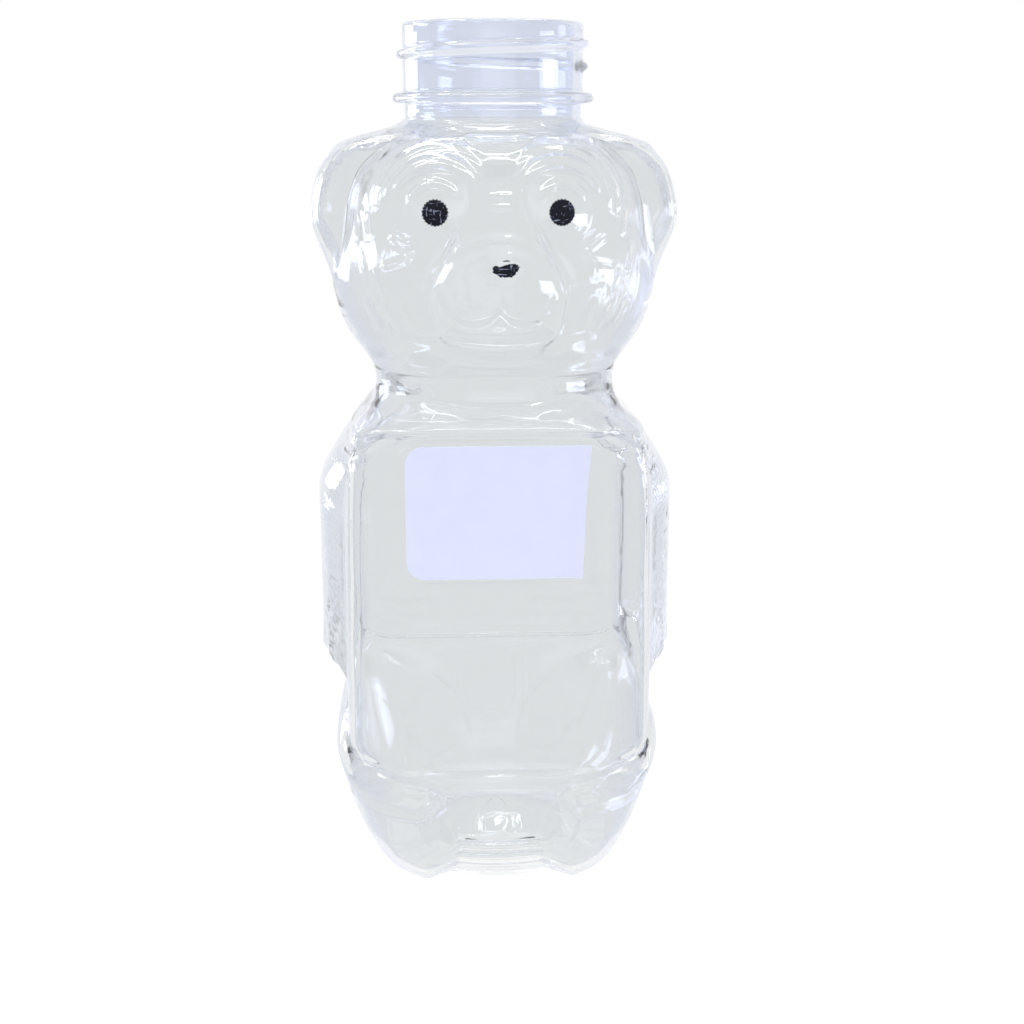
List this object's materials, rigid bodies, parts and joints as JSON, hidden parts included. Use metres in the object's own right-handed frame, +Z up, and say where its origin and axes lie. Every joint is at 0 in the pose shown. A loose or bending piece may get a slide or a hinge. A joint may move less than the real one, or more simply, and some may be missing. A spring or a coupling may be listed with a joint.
{
  "type": "honey bear bottle",
  "caption": "Clear squeeze bottle for honey, blown in the shape of a sitting bear, with an open screw neck, printed eyes and nose and a bare paper label.",
  "frame": {"origin": "on the axis of the neck, in the plane that the base stands on", "axes": "+Z up through the mouth, the bear's face towards -Y, its left arm towards +X"},
  "size_m": [0.0734, 0.0677, 0.169],
  "materials": {
    "bottle_body": "clear stretch-blown PET, glossy inside and out",
    "neck_finish": "clear injection-moulded PET, glossy",
    "label_paper": "matt uncoated paper, bare",
    "label_adhesive": "clear pressure-sensitive glue film",
    "eye_print_left": "black pad-printing ink, streaky",
    "eye_print_right": "black pad-printing ink, streaky",
    "nose_print": "black pad-printing ink, streaky"
  },
  "bodies": {
    "root": {"bottle_body": "bottle_body", "neck_finish": "neck_finish", "label_paper": "label_paper", "label_adhesive": "label_adhesive", "eye_print_left": "eye_print_left", "eye_print_right": "eye_print_right", "nose_print": "nose_print"}
  },
  "joints": []
}
